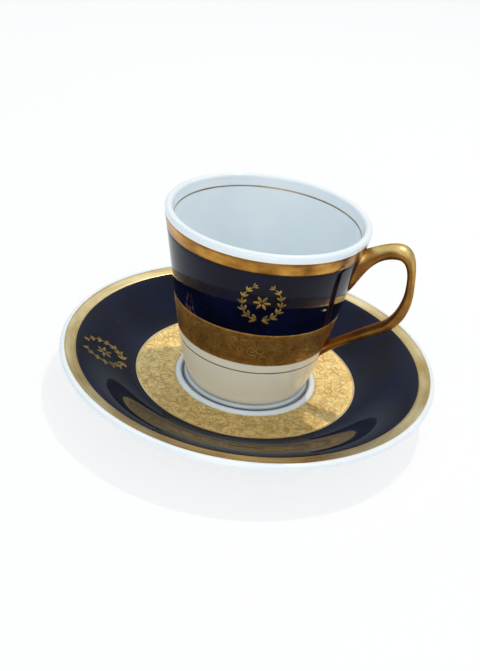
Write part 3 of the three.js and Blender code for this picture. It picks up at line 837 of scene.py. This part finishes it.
# two leafy branches round a small flower, grown flat and then laid on the glaze
def makeWreathTree():
    form = wreathShape
    tree, add, given = newTree("wreath", {"Leaf Length": "Float", "Leaves": "Int", "Stem Width": "Float",
                                          "Relief": "Float", "Petals": "Int", "Finish": "Material"})
    length, count, petalCount = given["Leaf Length"], given["Leaves"], given["Petals"]
    branch = add("GeometryNodeMeshToCurve", (given["Geometry"],))[0]
    half = add("ShaderNodeMath", (given["Stem Width"], 0.5), operation="MULTIPLY")[0]
    round6 = add("GeometryNodeCurvePrimitiveCircle", {"Resolution": 6, "Radius": half})[0]
    stem = add("GeometryNodeCurveToMesh", {"Curve": branch, "Profile Curve": round6, "Fill Caps": True})[0]
    ball = add("GeometryNodeMeshUVSphere", {"Segments": 8, "Rings": 5, "Radius": 0.5})[0]
    ahead = add("GeometryNodeTransform", {"Geometry": ball, "Translation": (form["leafAhead"], 0, 0)})[0]
    width = add("ShaderNodeMath", (length, form["leafWidth"]), operation="MULTIPLY")[0]
    leafSize = add("ShaderNodeCombineXYZ", (length, width, given["Relief"]))[0]
    leaf = add("GeometryNodeTransform", {"Geometry": ahead, "Scale": leafSize})[0]
    stops = add("GeometryNodeCurveToPoints", {"Curve": branch, "Count": count}, mode="COUNT")
    along = add("FunctionNodeAlignRotationToVector", {"Vector": stops["Tangent"]}, axis="X",
                pivot_axis="Z")[0]
    index = add("GeometryNodeInputIndex")[0]
    place = add("FunctionNodeIntegerMath", (index, count), operation="MODULO")[0]
    share = add("ShaderNodeMath", (place, count), operation="DIVIDE")[0]
    size = add("ShaderNodeMath", (share, form["leafShrink"], 1.0), operation="MULTIPLY_ADD")[0]
    joined = add("GeometryNodeJoinGeometry", (stem,))[0]
    for slant in form["slants"]:
        lean = add("FunctionNodeRotateRotation", (along, (0, 0, math.radians(slant))),
                   rotation_space="LOCAL")[0]
        leaves = add("GeometryNodeInstanceOnPoints", {"Points": stops["Points"], "Instance": leaf,
                                                      "Rotation": lean, "Scale": size})[0]
        setInputs(joined.node, (leaves,))
    heart = add("GeometryNodeMeshCircle", {"Vertices": petalCount, "Radius": half})[0]
    turn = add("ShaderNodeMath", (math.tau, petalCount), operation="DIVIDE")[0]
    angle = add("ShaderNodeMath", (index, turn), operation="MULTIPLY")[0]
    spin = add("ShaderNodeCombineXYZ", {2: angle})[0]
    petals = add("GeometryNodeInstanceOnPoints", {"Points": heart, "Instance": leaf, "Rotation": spin})[0]
    setInputs(joined.node, (petals,))
    endTree(add, joined, given["Finish"])
    return tree


wreathTree = makeWreathTree()


# a point of the flat wreath, u to the right and v up, laid on the cup's wall or the saucer's slope
def onCup(u, v, w, wreath):
    z = wreath["middle"] + v
    radius = wallRadius(z) + bandShape["proud"] + w
    angle = math.radians(wreath["azimuth"]) + u / radius
    return (radius * math.cos(angle), radius * math.sin(angle), z + cupLift / mm)


def onSaucer(u, v, w, wreath):
    at = wreath["middle"] + v
    (r, z), (nextR, nextZ) = saucerTop(at), saucerTop(at + wreathShape["slopeStep"])
    normal = Vector((z - nextZ, nextR - r)).normalized() * (bandShape["proud"] + w)
    angle = math.radians(wreath["azimuth"]) - u / r
    return ((r + normal.x) * math.cos(angle), (r + normal.x) * math.sin(angle), z + normal.y)


def makeWreath(wreath):
    shape = wreathShape
    points, edges = [], []
    for side in (1, -1):
        for i, turn in enumerate(spread(shape["from"], shape["to"], shape["steps"])):
            if i:
                edges.append((len(points) - 1, len(points)))
            points.append((side * shape["width"] * math.cos(math.radians(turn)) * mm,
                           shape["height"] * math.sin(math.radians(turn)) * mm, 0))
    flat = bpy.data.meshes.new(wreath["name"] + "_line")
    flat.from_pydata(points, edges, [])
    piece = grow(wreath["name"], flat, wreathTree,
                 {"Leaf Length": shape["leafLength"] * mm, "Leaves": shape["leaves"],
                  "Stem Width": shape["stemWidth"] * mm, "Relief": shape["relief"] * mm,
                  "Petals": shape["petals"], "Finish": motifGold})
    lay = onCup if wreath["body"] == "cup" else onSaucer
    for vertex in piece.data.vertices:
        u, v, w = vertex.co / mm
        vertex.co = Vector(lay(u, v, w, wreath)) * mm
    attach(piece, wreath["body"])


for wreath in wreaths:
    makeWreath(wreath)
print("wreaths painted")


# the camera, as the photograph's: angles in degrees, lengths in millimetres
cameraView = {"azimuth": 16.5, "elevation": 30.489, "roll": 8.017, "distance": 303.3, "right": 1.8,
              "down": 12.757, "aimHeight": 4.542, "focalPixels": 916.17, "framePixels": 671, "sensor": 36,
              "near": 10}


def makeCamera():
    view = cameraView
    azimuth, elevation, roll = (math.radians(view[k]) for k in ("azimuth", "elevation", "roll"))
    back = Vector((math.sin(azimuth) * math.cos(elevation), -math.cos(azimuth) * math.cos(elevation),
                   math.sin(elevation)))
    level = Vector((math.cos(azimuth), math.sin(azimuth), 0))
    upright = back.cross(level)
    right = level * math.cos(roll) + upright * math.sin(roll)
    up = upright * math.cos(roll) - level * math.sin(roll)
    aim = Vector((0, 0, view["aimHeight"]))
    place = aim - right * view["right"] + up * view["down"] + back * view["distance"]
    lens = bpy.data.cameras.new("camera")
    lens.sensor_width = view["sensor"]
    lens.lens = view["focalPixels"] * view["sensor"] / view["framePixels"]
    lens.clip_start = view["near"] * mm
    camera = bpy.data.objects.new("camera", lens)
    turn = Matrix((right, up, back)).transposed().to_4x4()
    camera.matrix_world = Matrix.Translation(place * mm) @ turn
    bpy.context.scene.collection.objects.link(camera)
    bpy.context.scene.camera = camera


makeCamera()


# plain white floor, a warm lamp high at the back, a soft fill low in front, and a cool room that is bright
# overhead and darker along its walls, in metres
floorLook = {"colour": "#f7f7f7", "size": 8.0, "roughness": 0.6, "paper": 0.72}
roomLook = {"high": "#e6f1fc", "low": "#a7b0ba", "from": 0.42, "to": 0.62, "lean": 0.06, "turn": 12}
lamps = [
    {"name": "key", "at": (0.12, 0.4, 1.0), "aim": (0, 0, 0.03), "size": (0.03, 0.03), "watts": 4.0,
     "colour": "#ffeed3"},
    {"name": "fill", "at": (0.25, -1.1, 0.28), "aim": (0, 0, 0.02), "size": (0.8, 0.5), "watts": 3.1,
     "colour": "#fff5e7"},
]


# the floor shows partly as white paper to the camera and in reflections, and keeps the object's shadow
def makeFloor():
    half = floorLook["size"] / 2
    corners = [(-half, -half, 0), (half, -half, 0), (half, half, 0), (-half, half, 0)]
    mesh = bpy.data.meshes.new("floor")
    mesh.from_pydata(corners, [], [(0, 1, 2, 3)])
    finish, add, shader = newFinish("matt_floor", floorLook["colour"], 0, floorLook["roughness"])
    path = add("ShaderNodeLightPath")
    seen = path["Is Camera Ray"]
    for ray in ("Is Glossy Ray", "Is Transmission Ray"):
        seen = add("ShaderNodeMath", (seen, path[ray]), operation="MAXIMUM")[0]
    share = add("ShaderNodeMath", (seen, floorLook["paper"]), operation="MULTIPLY")[0]
    white = add("ShaderNodeEmission", {"Strength": 1.0})[0]
    mixed = add("ShaderNodeMixShader", (share, shader.outputs[0], white))[0]
    setInputs(finish.node_tree.nodes["Material Output"], {"Surface": mixed})
    mesh.materials.append(finish)
    floor = bpy.data.objects.new("floor", mesh)
    bpy.context.scene.collection.objects.link(floor)


def makeLamp(lamp):
    light = bpy.data.lights.new(lamp["name"], "AREA")
    light.shape = "RECTANGLE"
    light.size, light.size_y = lamp["size"]
    light.energy = lamp["watts"]
    light.color = linear(lamp["colour"])[:3]
    holder = bpy.data.objects.new(lamp["name"], light)
    holder.location = lamp["at"]
    aim = Vector(lamp["aim"]) - Vector(lamp["at"])
    holder.rotation_euler = aim.to_track_quat("-Z", "Y").to_euler()
    bpy.context.scene.collection.objects.link(holder)


def makeRoom():
    world = bpy.data.worlds.new("room")
    bpy.context.scene.world = world
    world.use_nodes = True
    add = partial(addNode, world.node_tree)
    direction = add("ShaderNodeTexCoord")["Generated"]
    turn = math.radians(cameraView["azimuth"] + roomLook["turn"])
    upward = (-math.sin(turn) * roomLook["lean"], math.cos(turn) * roomLook["lean"], 1)
    height = add("ShaderNodeVectorMath", (direction, upward), operation="DOT_PRODUCT")["Value"]
    shade = add("ShaderNodeMapRange", (height, roomLook["from"], roomLook["to"]))[0]
    light = add("ShaderNodeMix", {"Factor": shade, 6: roomLook["low"], 7: roomLook["high"]},
                data_type="RGBA")[2]
    setInputs(world.node_tree.nodes["Background"], {"Color": light})


makeFloor()
for lamp in lamps:
    makeLamp(lamp)
makeRoom()
bpy.context.scene.view_settings.view_transform = "Standard"
print("stage lit")
